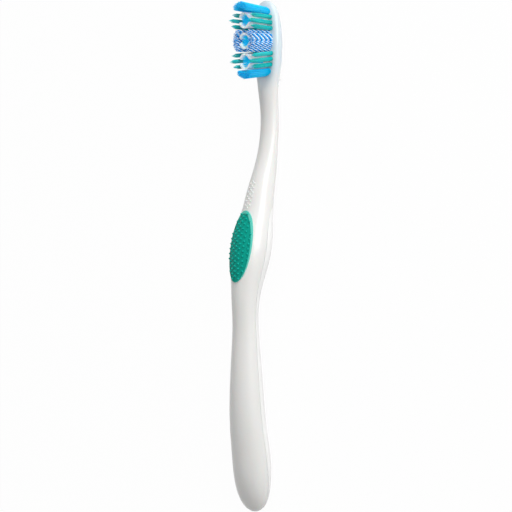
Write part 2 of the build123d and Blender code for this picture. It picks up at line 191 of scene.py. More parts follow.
class GripSettings(PropertyGroup):
    """Sizes of the nubs and raised dots."""

    nub: length("Nub", "Diameter of a nub on the thumb pad", 0.85)
    nub_height: length("Nub height", "Height of a nub", 0.62)
    nub_pitch: length("Nub pitch", "Distance of nubs along the pad", 1.84)
    nub_column_gap: length("Nub column gap", "Distance between columns of nubs", 1.6)
    nub_margin: length("Nub margin", "Bare border of the pad", 0.6)
    rim_side: length("Light rim at the side", "Width of the pad's light rim at its sides", 0.15)
    rim_head: length("Light rim at the head end", "Its width towards the head", 1.3)
    rim_tail: length("Light rim at the tail end", "Its width towards the tail", 0.0)
    dot: length("Dot", "Diameter of a raised dot above the pad", 0.75)
    dot_height: length("Dot height", "Height of a raised dot", 0.3)
    dot_pitch: length("Dot pitch", "Distance of dots along the handle", 1.64)
    dot_column_gap: length("Dot column gap", "Distance between columns of dots", 1.15)
    dot_start: length("Dots start", "Distance from the pad to the first dots", 0.4)
    dot_field: length("Dot field", "Length of the field of dots", 11.3)
    dot_width: length("Dot field width", "Width of the field of dots", 4.37)
    cleaner_nub: length("Cleaner nub", "Diameter of a nub on the tongue cleaner", 0.9)
    cleaner_nub_height: length("Cleaner nub height", "Height of such a nub", 1.0)
    cleaner_nub_pitch: length("Cleaner nub pitch", "Distance of these nubs along the head", 1.6)
    cleaner_nub_column_gap: length("Cleaner nub column gap", "Distance of their columns", 1.25)
    cleaner_nub_field: length("Cleaner nub field", "Length of the field of these nubs", 5.6)
    cleaner_nub_width: length("Cleaner nub width", "Width of the field of these nubs", 5.75)


class FinishSettings(PropertyGroup):
    """Colours of the pieces, and painted glows that stand in for light that some let through."""

    pearl: colour("Pearl", "Hard handle", (0.73, 0.725, 0.705))
    # painted light: the coloured light that the tufts throw on the hard head
    tuft_light_on_head: colour("Head glow", "Hard head, where the tufts tint it", (0.61, 0.70, 0.74))
    # painted highlight: the dots are the handle's pearl, made lighter for the light they catch
    dot_highlight_white: colour("Dot white", "Raised dots above the thumb pad", (0.82, 0.815, 0.79))
    soft_white: colour("Soft white", "Soft back of the handle", (0.86, 0.86, 0.85))
    teal_rubber: colour("Teal rubber", "Thumb pad", (0.0, 0.31, 0.24))
    # painted highlight: the nubs are the pad's rubber, made lighter for the light on their tips
    teal_nub_highlight: colour("Teal nub", "Nubs of the thumb pad", (0.0, 0.39, 0.31))
    teal_rim: colour("Teal rim", "Thin rim of the thumb pad", (0.10, 0.54, 0.45))
    cup_white: colour("Cup white", "Polishing cups", (0.88, 0.90, 0.92))
    teal_nylon: colour("Teal nylon", "Side tufts", (0.0, 0.64, 0.64))
    blue_nylon: colour("Blue nylon", "Toe and heel tufts", (0.0, 0.62, 1.0))
    deep_blue: colour("Deep blue", "Tufts in the cups", (0.0, 0.70, 1.0))
    twist_deep: colour("Twist deep blue", "Dark strand of the twisted bristles", (0.0, 0.17, 0.56))
    twist_blue: colour("Twist blue", "Bright strand of the twisted bristles", (0.0, 0.48, 1.0))
    twist_white: colour("Twist white", "White strand of the twisted bristles", (0.95, 1.0, 1.0))
    brass: colour("Brass", "Anchor blades", (0.72, 0.52, 0.22))
    # painted light: these glows are emission that stands in for the light the filaments let
    # through
    blue_painted_glow: ratio("Blue glow", "Share of light that blue filaments let through", 0.07)
    cup_tuft_painted_glow: ratio("Cup glow", "The same for the filaments in the cups", 0.13)
    # painted light: the cups glow to lighten the walls that the tufts shade
    cup_painted_glow: ratio("Cup milk", "The same for the milky cups", 0.1)


class StudioSettings(PropertyGroup):
    """Camera and lamps."""

    lens: ratio("Lens", "Focal length in millimetres", 200.0, "CAMERA")
    distance: length("Distance", "Camera to the middle of the brush", 1056.7)
    aim: length("Aim", "Height over the floor that camera and lamps aim at", 7.75)
    elevation: angle("Elevation", "Height of the camera over the near side", 41.0)
    lean: angle("Lean", "Lean of the brush to the right in the picture", 1.9)
    key_power: ratio("Key power", "Lamp on the near side", 3.9, "POWER")
    head_power: ratio("Head power", "Lamp beyond the head", 3.1, "POWER")
    top_power: ratio("Top power", "Lamp overhead", 0.5, "POWER")
    ambient: ratio("Ambient", "Strength of the light from all round", 0.36)
    floor_white: colour("Floor white", "Floor, where it takes the shadow", (0.95, 0.95, 0.95))
    floor_shadow: ratio("Floor shadow", "Share of the floor that takes the shadow", 0.03)


# ------------------------------------------------------------------ node trees
class TreeMaker:
    """Adds nodes to a tree, each linked to the values and sockets that it is given."""

    def __init__(self, tree):
        self.tree = tree

    def add(self, kind, values=None, **settings):
        """A node of a kind, with values by the name or the number of its inputs."""
        node = self.tree.nodes.new(kind)
        for key, value in settings.items():
            setattr(node, key, value)
        for key, value in (values or {}).items():
            if isinstance(key, int):
                socket = node.inputs[key]
            else:
                socket = next(item for item in node.inputs if item.enabled and item.name == key)
            if isinstance(value, bpy.types.NodeSocket):
                self.tree.links.new(value, socket)
            else:
                socket.default_value = value
        return node

    def maths(self, operation, first, second=0.0):
        """One scalar sum."""
        return self.add("ShaderNodeMath", {0: first, 1: second}, operation=operation).outputs[0]

    def scaled(self, vector, factor):
        """A vector times a number."""
        values = {"Vector": vector, "Scale": factor}
        return self.add("ShaderNodeVectorMath", values, operation="SCALE").outputs[0]

    def summed(self, *vectors):
        """The sum of some vectors."""
        total = vectors[0]
        for vector in vectors[1:]:
            values = {0: total, 1: vector}
            total = self.add("ShaderNodeVectorMath", values, operation="ADD").outputs[0]
        return total


class GrowthTree(TreeMaker):
    """A geometry node tree with named inputs, which ends in realised pieces with a material."""

    def __init__(self, name, inputs):
        super().__init__(bpy.data.node_groups.new(name, "GeometryNodeTree"))
        sockets = self.tree.interface
        sockets.new_socket("Geometry", in_out="OUTPUT", socket_type="NodeSocketGeometry")
        sockets.new_socket("Geometry", in_out="INPUT", socket_type="NodeSocketGeometry")
        for label, kind in inputs.items():
            sockets.new_socket(label, in_out="INPUT", socket_type="NodeSocket" + kind)
        self.inputs = self.tree.nodes.new("NodeGroupInput").outputs

    def store(self, geometry, name, value, kind):
        """Keeps a value on every point under a name."""
        values = {"Geometry": geometry, "Name": name, "Value": value}
        return self.add("GeometryNodeStoreNamedAttribute", values, data_type=kind,
                        domain="POINT").outputs[0]

    def stored(self, name, kind):
        """A value kept under a name."""
        values = {"Name": name}
        return self.add("GeometryNodeInputNamedAttribute", values, data_type=kind).outputs[0]

    def random(self, kind, low, high, offset):
        """A random value for each point."""
        seed = self.maths("ADD", self.inputs["Seed"], offset)
        values = {"Min": low, "Max": high, "Seed": seed}
        node = self.add("FunctionNodeRandomValue", values, data_type=kind)
        return next(item for item in node.outputs if item.enabled)

    def end(self, geometry):
        """Realises what was made and gives it its material."""
        smooth = self.add("GeometryNodeSetShadeSmooth", {"Geometry": geometry}).outputs[0]
        real = self.add("GeometryNodeRealizeInstances", {"Geometry": smooth}).outputs[0]
        values = {"Geometry": real, "Material": self.inputs["Material"]}
        last = self.add("GeometryNodeSetMaterial", values).outputs[0]
        self.add("NodeGroupOutput", {"Geometry": last})
        return self.tree


def bundle_tree(name, strands, steps, profile_sides):
    """A tree that grows bristles from a face, each of one strand or of several twisted ones."""
    inputs = {"Spacing": "Float", "Radius": "Float", "Height": "Float", "Axis": "Vector",
              "Point": "Float", "Jitter": "Float", "Stray": "Float", "Twist Radius": "Float",
              "Turns": "Float", "Seed": "Int", "Material": "Material"}
    grow = GrowthTree(name, inputs)
    field = grow.inputs
    roots = grow.add("GeometryNodeDistributePointsOnFaces", distribute_method="POISSON", values={
        "Mesh": field["Geometry"], "Distance Min": field["Spacing"], "Density Max": DENSEST,
        "Seed": field["Seed"]}).outputs["Points"]
    position = grow.add("GeometryNodeInputPosition").outputs[0]
    roots = grow.store(roots, "root", position, "FLOAT_VECTOR")
    chance = grow.random("FLOAT_VECTOR", (-1, -1, 0), (1, 1, 1), 1)
    roots = grow.store(roots, "chance", chance, "FLOAT_VECTOR")
    roots = grow.store(roots, "shade", grow.random("FLOAT", 0.0, 1.0, 2), "FLOAT")

    template = grow.add("GeometryNodeJoinGeometry")
    for strand in range(strands):
        line = grow.add("GeometryNodeCurvePrimitiveLine", {"End": (0, 0, 1)}).outputs[0]
        values = {"Curve": line, "Count": steps + 1}
        line = grow.add("GeometryNodeResampleCurve", values).outputs[0]
        line = grow.store(line, "strand", strand / max(1, strands - 1), "FLOAT")
        grow.tree.links.new(line, template.inputs[0])
    values = {"Points": roots, "Instance": template.outputs[0]}
    lines = grow.add("GeometryNodeInstanceOnPoints", values).outputs[0]
    lines = grow.add("GeometryNodeRealizeInstances", {"Geometry": lines}).outputs[0]

    along = grow.add("GeometryNodeSplineParameter").outputs["Factor"]
    chance = grow.stored("chance", "FLOAT_VECTOR")
    rise = grow.add("ShaderNodeSeparateXYZ", {0: chance}).outputs["Z"]
    edge = grow.maths("POWER", grow.stored("edge", "FLOAT"), POINT_CURVE)
    reach = grow.maths("SUBTRACT", field["Height"], grow.maths("MULTIPLY", edge, field["Point"]))
    reach = grow.maths("SUBTRACT", reach, grow.maths("MULTIPLY", rise, field["Jitter"]))
    shaft = grow.scaled(field["Axis"], grow.maths("MULTIPLY", reach, along))
    drift = grow.stored("drift", "FLOAT_VECTOR")
    drift = grow.scaled(drift, grow.maths("POWER", along, SPLAY_CURVE))
    values = {0: chance, 1: (1, 1, 0)}
    sideways = grow.add("ShaderNodeVectorMath", values, operation="MULTIPLY").outputs[0]
    sway = grow.maths("MULTIPLY", grow.maths("POWER", along, STRAY_CURVE), field["Stray"])
    root = grow.stored("root", "FLOAT_VECTOR")
    parts = [root, shaft, drift, grow.scaled(sideways, sway)]
    if strands > 1:
        place = grow.maths("MULTIPLY", grow.stored("strand", "FLOAT"), (strands - 1) / strands)
        start = grow.maths("SUBTRACT", place, grow.stored("phase", "FLOAT"))
        turned = grow.maths("ADD", grow.maths("MULTIPLY", along, field["Turns"]), start)
        turned = grow.maths("MULTIPLY", turned, math.tau)
        round_axis = grow.add("ShaderNodeCombineXYZ", {
            "X": grow.maths("COSINE", turned), "Y": grow.maths("SINE", turned)}).outputs[0]
        parts.append(grow.scaled(round_axis, field["Twist Radius"]))
    values = {"Geometry": lines, "Position": grow.summed(*parts)}
    lines = grow.add("GeometryNodeSetPosition", values).outputs[0]

    profile = grow.add("GeometryNodeCurvePrimitiveCircle", {
        "Resolution": profile_sides, "Radius": field["Radius"]}).outputs[0]
    tip = grow.add("ShaderNodeMapRange", {
        "Value": along, "From Min": TIP_START, "From Max": 1.0,
        "To Min": 1.0, "To Max": TIP_WIDTH}).outputs[0]
    bundle = grow.add("GeometryNodeCurveToMesh", {
        "Curve": lines, "Profile Curve": profile, "Scale": tip, "Fill Caps": True}).outputs[0]
    return grow.end(bundle)


def nub_tree():
    """A tree that sets an oval field of round nubs on a surface, in staggered rows."""
    inputs = {"Surface": "Object", "Centre": "Vector", "Towards": "Vector",
              "Half Length": "Float", "Half Width": "Float", "Pitch": "Float",
              "Column Gap": "Float", "Radius": "Float", "Height": "Float",
              "Material": "Material"}
    grow = GrowthTree("nub_rows", inputs)
    field = grow.inputs

    def count(half, step):
        """How many rows cover a half size on each side of the middle row, and how many in all."""
        each_side = grow.maths("CEIL", grow.maths("DIVIDE", half, step))
        return each_side, grow.maths("ADD", grow.maths("MULTIPLY", each_side, 2.0), 1.0)

    rows, row_count = count(field["Half Length"], field["Pitch"])
    columns, column_count = count(field["Half Width"], field["Column Gap"])
    half_x = grow.maths("MULTIPLY", rows, field["Pitch"])
    half_y = grow.maths("MULTIPLY", columns, field["Column Gap"])
    grid = grow.add("GeometryNodeMeshGrid", {
        "Size X": grow.maths("MULTIPLY", half_x, 2.0),
        "Size Y": grow.maths("MULTIPLY", half_y, 2.0),
        "Vertices X": row_count, "Vertices Y": column_count}).outputs[0]
    position = grow.add("GeometryNodeInputPosition").outputs[0]
    place = grow.add("ShaderNodeSeparateXYZ", {0: position})
    column = grow.maths("ROUND", grow.maths("DIVIDE", place.outputs["Y"], field["Column Gap"]))
    odd = grow.maths("PINGPONG", column, 1.0)
    shift = grow.maths("MULTIPLY", odd, grow.maths("MULTIPLY", field["Pitch"], 0.5))
    offset = grow.add("ShaderNodeCombineXYZ", {"X": shift}).outputs[0]
    values = {"Geometry": grid, "Offset": offset}
    rows = grow.add("GeometryNodeSetPosition", values).outputs[0]

    position = grow.add("GeometryNodeInputPosition").outputs[0]
    place = grow.add("ShaderNodeSeparateXYZ", {0: position})
    share_x = grow.maths("DIVIDE", place.outputs["X"], field["Half Length"])
    share_y = grow.maths("DIVIDE", place.outputs["Y"], field["Half Width"])
    oval = grow.maths("ADD", grow.maths("POWER", grow.maths("ABSOLUTE", share_x), 2.0),
                      grow.maths("POWER", grow.maths("ABSOLUTE", share_y), 2.0))
    values = {"Geometry": rows, "Selection": grow.maths("GREATER_THAN", oval, 1.0)}
    rows = grow.add("GeometryNodeDeleteGeometry", values).outputs[0]
    values = {"Geometry": rows, "Offset": field["Centre"]}
    rows = grow.add("GeometryNodeSetPosition", values).outputs[0]

    surface = grow.add("GeometryNodeObjectInfo", {"Object": field["Surface"]}).outputs["Geometry"]
    hit = grow.add("GeometryNodeRaycast", {
        "Target Geometry": surface, "Ray Direction": field["Towards"],
        "Ray Length": RAY_LENGTH}).outputs
    values = {"Vector": hit["Hit Normal"]}
    upright = grow.add("FunctionNodeAlignRotationToVector", values, axis="Z").outputs[0]
    rows = grow.store(rows, "upright", upright, "QUATERNION")
    values = {"Geometry": rows, "Position": hit["Hit Position"]}
    rows = grow.add("GeometryNodeSetPosition", values).outputs[0]
    dome = grow.add("GeometryNodeMeshUVSphere", {
        "Segments": NUB_SEGMENTS, "Rings": NUB_RINGS, "Radius": 1.0}).outputs[0]
    dome_size = grow.add("ShaderNodeCombineXYZ", {
        "X": field["Radius"], "Y": field["Radius"], "Z": field["Height"]}).outputs[0]
    nubs = grow.add("GeometryNodeInstanceOnPoints", {
        "Points": rows, "Instance": dome, "Scale": dome_size,
        "Rotation": grow.stored("upright", "QUATERNION")}).outputs[0]
    return grow.end(nubs)


def grown(tree, name, base_mesh, values):
    """The plain mesh that a tree makes from a base mesh, as a piece of the brush."""
    base = bpy.data.objects.new(name + "_base", base_mesh)
    bpy.context.scene.collection.objects.link(base)
    modifier = base.modifiers.new("growth", "NODES")
    modifier.node_group = tree
    for socket in tree.interface.items_tree:
        if socket.item_type == "SOCKET" and socket.in_out == "INPUT" and socket.name in values:
            modifier[socket.identifier] = values[socket.name]
    evaluated = base.evaluated_get(bpy.context.evaluated_depsgraph_get())
    mesh = bpy.data.meshes.new_from_object(evaluated)
    bpy.data.objects.remove(base)
    bpy.data.meshes.remove(base_mesh)
    if not mesh.polygons:
        raise RuntimeError(f"{name} grew nothing")
    for attribute in GROWTH_ATTRIBUTES:
        if attribute in mesh.attributes:
            mesh.attributes.remove(mesh.attributes[attribute])
    piece = bpy.data.objects.new(name, mesh)
    bpy.context.scene.collection.objects.link(piece)
    return piece


# ------------------------------------------------------------------ materials
class SurfaceMaker(TreeMaker):
    """A material whose base colour, roughness and bump come from nodes."""

    def __init__(self, name, **constants):
        material = bpy.data.materials.new(name)
        material.use_nodes = True
        super().__init__(material.node_tree)
        self.material = material
        self.shader = material.node_tree.nodes["Principled BSDF"]
        for label, value in constants.items():
            self.shader.inputs[label.replace("_", " ")].default_value = value

    def coordinates(self):
        """Object coordinates."""
        return self.add("ShaderNodeTexCoord").outputs["Object"]

    def noise(self, scale, detail=2.0):
        """Soft noise over the object, with features per metre."""
        values = {"Vector": self.coordinates(), "Scale": scale, "Detail": detail}
        return self.add("ShaderNodeTexNoise", values).outputs["Fac"]

    def ranged(self, value, low, high, from_low=0.0, from_high=1.0):
        """A value mapped to a range."""
        values = {"Value": value, "From Min": from_low, "From Max": from_high,
                  "To Min": low, "To Max": high}
        return self.add("ShaderNodeMapRange", values).outputs[0]

    def mixed(self, factor, first, second):
        """Two colours mixed."""
        values = {0: factor, 6: first, 7: second}
        for index in (6, 7):
            if not isinstance(values[index], bpy.types.NodeSocket):
                values[index] = (*values[index], 1.0)
        return self.add("ShaderNodeMix", values, data_type="RGBA").outputs[2]

    def mottled(self, scale, first, second, from_low=0.3, from_high=0.7):
        """Two colours mixed in soft patches."""
        patches = self.ranged(self.noise(scale), 0, 1, from_low, from_high)
        return self.mixed(patches, first, second)

    def paint(self, base):
        """Sets the base colour from a socket."""
        self.tree.links.new(base, self.shader.inputs["Base Color"])

    def roughen(self, low, high, scale):
        """Varies the roughness."""
        self.tree.links.new(self.ranged(self.noise(scale), low, high, 0.3, 0.7),
                            self.shader.inputs["Roughness"])

    def bump(self, height, distance, strength):
        """Bumps the surface by a height socket."""
        values = {"Height": height, "Distance": distance, "Strength": strength}
        normal = self.add("ShaderNodeBump", values).outputs["Normal"]
        self.tree.links.new(normal, self.shader.inputs["Normal"])


def darker(base, share):
    """A colour times a share."""
    return tuple(channel * share for channel in base)


def lighter(base, share):
    """A colour moved towards white by a share."""
    return tuple(channel + (1 - channel) * share for channel in base)


def pearl_moulding(name, base, painted_tuft_light):
    """Hard, glossy pearl white plastic, with the tufts' coloured light painted in from the neck to
    the head.
    """
    make = SurfaceMaker(name, Coat_Weight=0.25, Coat_Roughness=0.15,
                        Subsurface_Weight=0.1, Subsurface_Scale=0.002)
    along = make.add("ShaderNodeSeparateXYZ", {0: make.coordinates()}).outputs["X"]
    neck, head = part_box("tongue_cleaner")[0].x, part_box("side_tuft_anchors")[0].x
    # painted light: the pearl turns to the colour of the tufts' light towards the head
    tone = make.mixed(make.ranged(along, 0, 1, neck, head), base, painted_tuft_light)
    clouds = make.ranged(make.noise(PEARL_CLOUDS), 0, 0.04)
    make.paint(make.mixed(clouds, tone, (1.0, 1.0, 1.0)))
    make.roughen(0.30, 0.33, PEARL_GRAIN)
    return make.material


def rubber(name, base):
    """The maker of a soft, satin rubber with a fine grain, and its base colour."""
    make = SurfaceMaker(name, Specular_IOR_Level=0.12)
    make.roughen(0.46, 0.54, RUBBER_GRAIN)
    make.bump(make.noise(RUBBER_PITS, 3.0), RUBBER_PIT_DEPTH, 0.3)
    tone = make.mottled(RUBBER_MOTTLE, darker(base, 0.97), base)
    make.paint(tone)
    return make, tone


def soft_overmould(name, base):
    """Rubber of one colour."""
    make, _ = rubber(name, base)
    return make.material


def rimmed_overmould(name, base, rim, sizes):
    """Rubber of the thumb pad, lighter on its rim, which is widest towards the head."""
    make, tone = rubber(name, base)
    low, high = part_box("thumb_grip")
    centre = (low + high) / 2
    centre.x += (sizes.rim_tail - sizes.rim_head) / 2
    half_x = (high.x - low.x - sizes.rim_tail - sizes.rim_head) / 2
    half_y = (high.y - low.y) / 2 - sizes.rim_side
    mapping = make.add("ShaderNodeMapping", {
        "Vector": make.coordinates(), "Location": (-centre.x / half_x, -centre.y / half_y, 0),
        "Scale": (1 / half_x, 1 / half_y, 0)})
    reach = make.add("ShaderNodeVectorMath", {0: mapping.outputs[0]}, operation="LENGTH")
    edge = make.ranged(reach.outputs["Value"], 0, 1, RIM_START, 1.0)
    make.paint(make.mixed(edge, tone, rim))
    return make.material


def cup_elastomer(settings):
    """Milky, slightly see-through elastomer, with a painted glow that lights its walls where the
    tufts shade them.
    """
    base = tuple(settings.cup_white)
    # the emission is a painted glow
    make = SurfaceMaker("cup_elastomer", Subsurface_Weight=0.4, Subsurface_Scale=0.002,
                        Transmission_Weight=0.12, IOR=1.42, Emission_Color=(*base, 1.0),
                        Emission_Strength=settings.cup_painted_glow)
    make.paint(make.mottled(CUP_MOTTLE, darker(base, 0.95), base, 0.35, 0.65))
    make.roughen(0.3, 0.45, CUP_GRAIN)
    return make.material


def nylon(name, base, glow=0.0):
    """Clear-coloured filaments, each a little lighter or darker than its neighbours, with painted
    shade near their roots.

    A painted glow stands in for the light that filaments let through to each other.
    """
    make = SurfaceMaker(name, Subsurface_Weight=0.4, Subsurface_Scale=0.0005,
                        Specular_IOR_Level=0.15, Emission_Color=(*base, 1.0),
                        Emission_Strength=glow)
    shade = make.add("ShaderNodeAttribute", attribute_name="shade").outputs["Fac"]
    height = make.add("ShaderNodeSeparateXYZ", {0: make.coordinates()}).outputs["Z"]
    face = head_place().translation.z
    # painted shade near the roots
    rooted = make.ranged(height, 0.0, 1.0, face, face + ROOT_SHADE)
    tone = make.mixed(shade, darker(base, DARK_FILAMENT), lighter(base, LIGHT_FILAMENT))
    make.paint(make.mixed(rooted, darker(base, DARK_ROOT), tone))
    make.roughen(0.3, 0.42, NYLON_GRAIN)
    return make.material


def twisted_nylon(settings):
    """Twisted bristles of a dark blue, a bright blue and a white strand, each with a painted glow
    of its colour.
    """
    make = SurfaceMaker("twisted_nylon", Specular_IOR_Level=0.1,
                        Emission_Strength=settings.blue_painted_glow)
    strand = make.add("ShaderNodeAttribute", attribute_name="strand").outputs["Fac"]
    blues = make.mixed(make.ranged(strand, 0, 1, 0.0, 0.5), settings.twist_deep,
                       settings.twist_blue)
    tone = make.mixed(make.ranged(strand, 0, 1, 0.5, 1.0), blues, settings.twist_white)
    make.paint(tone)
    # painted glow in the strands' own colours
    make.tree.links.new(tone, make.shader.inputs["Emission Color"])
    make.roughen(0.3, 0.42, NYLON_GRAIN)
    return make.material


def anchor_metal(brass):
    """Drawn brass strip."""
    make = SurfaceMaker("anchor_metal", Metallic=1.0)
    make.paint(make.mixed(make.noise(BRASS_STREAKS), darker(brass, 0.85), brass))
    make.roughen(0.22, 0.36, BRASS_GRAIN)
    return make.material


# ------------------------------------------------------------------ shapes
def points_in(place, node):
    """A node's points, seen from a place."""
    to_place = place.inverted()
    return [to_place @ vertex.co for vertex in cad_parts[node].data.vertices]


def middle_of(points):
    """Middle of the box round some points."""
    return Vector([(min(axis) + max(axis)) / 2 for axis in zip(*points)])


def head_place():
    """Place in the bristle face at the middle cup, with X towards the toe."""
    turn = Matrix.Rotation(-HEAD_TILT, 4, "Y")
    points = points_in(turn, "polishing_cup_middle")
    middle = middle_of(points)
    face = min(point.z for point in points) + CUP_ROOT
    return turn @ Matrix.Translation((middle.x, middle.y, face))


def leaning_place(along, outwards, rake):
    """Place in the bristle face, turned so that its Z axis leans over to Y and X of the head."""
    lean_x, lean_y = math.sin(rake), math.sin(outwards)
    z_axis = Vector((lean_x, lean_y, 1)).normalized()
    x_axis = Vector((1, 0, -lean_x)).normalized()
    y_axis = z_axis.cross(x_axis)
    turn = Matrix((x_axis, y_axis, z_axis)).transposed().to_4x4()
    return head_place() @ Matrix.Translation((along, 0, 0)) @ turn


def rooted_place(node, outwards, rake):
    """Leaning place of a round tuft, from the lower end of its node."""
    place = leaning_place(0, outwards, rake)
    points = points_in(place, node)
    back = min(point.z for point in points)
    root = middle_of([point for point in points if point.z < back + ROOT_LAYER])
    return place @ Matrix.Translation((root.x, root.y, back + HOLE_DEPTH))


def height_in(place, node):
    """How far a node reaches along a place's Z axis."""
    return max(point.z for point in points_in(place, node))


def base_mesh(name, place, points, faces, edges, drifts, phases=None):
    """A tuft's root face; each point keeps how near it is to the edge and its tip's drift."""
    mesh = bpy.data.meshes.new(name)
    mesh.from_pydata([place @ Vector((x, y, -SHOWN_ROOT)) for x, y in points], [], faces)
    turn = place.to_3x3()
    edge = mesh.attributes.new("edge", "FLOAT", "POINT")
    edge.data.foreach_set("value", edges)
    drift = mesh.attributes.new("drift", "FLOAT_VECTOR", "POINT")
    for item, (x, y) in zip(drift.data, drifts):
        item.vector = turn @ Vector((x, y, 0))
    if phases:
        phase = mesh.attributes.new("phase", "FLOAT", "POINT")
        phase.data.foreach_set("value", phases)
    return mesh


def disc_base(name, place, radius, splay):
    """The root face of a round tuft."""
    turns = [math.tau * step / DISC_STEPS for step in range(DISC_STEPS)]
    rim = [(math.cos(turn), math.sin(turn)) for turn in turns]
    points = [(0, 0)] + [(radius * x, radius * y) for x, y in rim]
    faces = [(0, 1 + step, 1 + (step + 1) % DISC_STEPS) for step in range(DISC_STEPS)]
    edges = [0.0] + [1.0] * DISC_STEPS
    drifts = [(0, 0)] + [(splay * x, splay * y) for x, y in rim]
    return base_mesh(name, place, points, faces, edges, drifts)


def arc_base(name, place, centre_x, radius, middle, half_angle, thickness, splay, slant=0.0):
    """The root face of a curved tuft, in three rows of points from its inside to its outside.

    The slant is how far the phase of twisted bristles moves on from its middle to its ends.
    """
    rounding = thickness / 2 / radius
    points, edges, drifts, phases = [], [], [], []
    for step in range(ARC_STEPS + 1):
        share = 2 * step / ARC_STEPS - 1
        turn = middle + share * (half_angle + rounding)
        past = max(0.0, abs(share) * (half_angle + rounding) - half_angle) / rounding
        half = thickness / 2 * math.sqrt(max(END_WIDTH_SQUARED, 1 - past ** 2))
        out_x, out_y = math.cos(turn), math.sin(turn)
        for row in (-1, 0, 1):
            reach = radius + row * half
            points.append((centre_x + reach * out_x, reach * out_y))
            edges.append(float(max(abs(row), past)))
            drifts.append((row * splay * out_x - past * share * splay * out_y,
                           row * splay * out_y + past * share * splay * out_x))
            phases.append(slant * abs(share))
    faces = []
    for step in range(ARC_STEPS):
        for row in (0, 1):
            first = 3 * step + row
            faces.append((first, first + 1, first + 4, first + 3))
    return base_mesh(name, place, points, faces, edges, drifts, phases)


# ------------------------------------------------------------------ pieces
def settle(piece, slot, *nodes):
    """Puts a finished piece on the brush's body in place of some nodes."""
    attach(piece, BODY)
    if nodes:
        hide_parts(*nodes)


def cup_along(cup):
    """How far along the head a cup stands."""
    return middle_of(points_in(head_place(), f"polishing_cup_{cup}")).x


def bundle_values(settings, material, place, node, seed, point=0.0):
    """What every plain bundle's tree is given."""
    axis = place.to_3x3() @ Vector((0, 0, 1))
    return {"Spacing": settings.spacing, "Radius": settings.filament / 2,
            "Height": height_in(place, node) + SHOWN_ROOT, "Axis": axis, "Point": point,
            "Jitter": settings.jitter, "Stray": settings.stray, "Seed": settings.seed + seed,
            "Material": material}


def plain_bundle():
    """The tree of the plain bundles, made once."""
    made = bpy.data.node_groups.get("plain_bundle")
    return made or bundle_tree("plain_bundle", 1, FILAMENT_STEPS, FILAMENT_SIDES)


def nub_values(settings, kind, node, material):
    """What every field of nubs is given but its place and size."""
    return {"Surface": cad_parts[node], "Towards": (0, 0, -1),
            "Pitch": getattr(settings, f"{kind}_pitch"),
            "Column Gap": getattr(settings, f"{kind}_column_gap"),
            "Radius": getattr(settings, kind) / 2,
            "Height": getattr(settings, f"{kind}_height"), "Material": material}


class TOOTHBRUSH_OT_side_tufts(Operator):
    """Grow the twelve pointed tufts along the sides of the head"""

    bl_idname = "toothbrush.side_tufts"
    bl_label = "Side tufts"

    def execute(self, context):
        sizes = context.scene.toothbrush_bristles
        material = nylon("teal_nylon", context.scene.toothbrush_finish.teal_nylon)
        tree = plain_bundle()
        for side, sign in SIDES.items():
            for number in SIDE_TUFTS:
                node = f"side_tuft_{side}_{number}"
                rake = sizes.side_rake if number in TOE_SIDE_TUFTS else -sizes.side_rake
                place = rooted_place(node, sign * sizes.side_lean, rake)
                base = disc_base(node, place, sizes.side_radius, sizes.side_splay)
                values = bundle_values(sizes, material, place, node,
                                       number + SEEDS["side"] * sign, sizes.side_point)
                settle(grown(tree, f"side_bristles_{side}_{number}", base, values),
                       "side_bristles", node)
        return {"FINISHED"}


class TOOTHBRUSH_OT_cup_tufts(Operator):
    """Grow the round tufts inside the polishing cups"""

    bl_idname = "toothbrush.cup_tufts"
    bl_label = "Cup tufts"

    def execute(self, context):
        sizes = context.scene.toothbrush_bristles
        finish = context.scene.toothbrush_finish
        material = nylon("deep_blue_nylon", finish.deep_blue, finish.cup_tuft_painted_glow)
        tree = plain_bundle()
        for number, cup in enumerate(CUPS):
            node = f"cup_tuft_{cup}"
            place = leaning_place(cup_along(cup), 0, 0)
            base = disc_base(node, place, sizes.cup_radius, sizes.cup_splay)
            values = bundle_values(sizes, material, place, node, SEEDS["cup"] + number)
            settle(grown(tree, f"cup_bristles_{cup}", base, values), "cup_bristles", node)
        return {"FINISHED"}


class TOOTHBRUSH_OT_end_tufts(Operator):
    """Grow the crescent tufts at the toe and the heel"""

    bl_idname = "toothbrush.end_tufts"
    bl_label = "End tufts"

    def execute(self, context):
        sizes = context.scene.toothbrush_bristles
        finish = context.scene.toothbrush_finish
        material = nylon("blue_nylon", finish.blue_nylon, finish.blue_painted_glow)
        tree = plain_bundle()
        ends = (("toe", 1, sizes.toe_radius, sizes.toe_half_angle, sizes.toe_rake),
                ("heel", -1, sizes.heel_radius, sizes.heel_half_angle, -sizes.heel_rake))
        for end, direction, radius, half_angle, rake in ends:
            node = f"{end}_tuft"
            place = leaning_place(cup_along(end) + direction * radius, 0, rake)
            middle = 0.0 if direction > 0 else math.pi
            base = arc_base(node, place, -direction * radius, radius, middle, half_angle,
                            sizes.crescent, sizes.crescent_splay)
            values = bundle_values(sizes, material, place, node, SEEDS["end"] + direction,
                                   sizes.jitter)
            settle(grown(tree, f"{end}_bristles", base, values), "end_bristles", node)
        return {"FINISHED"}


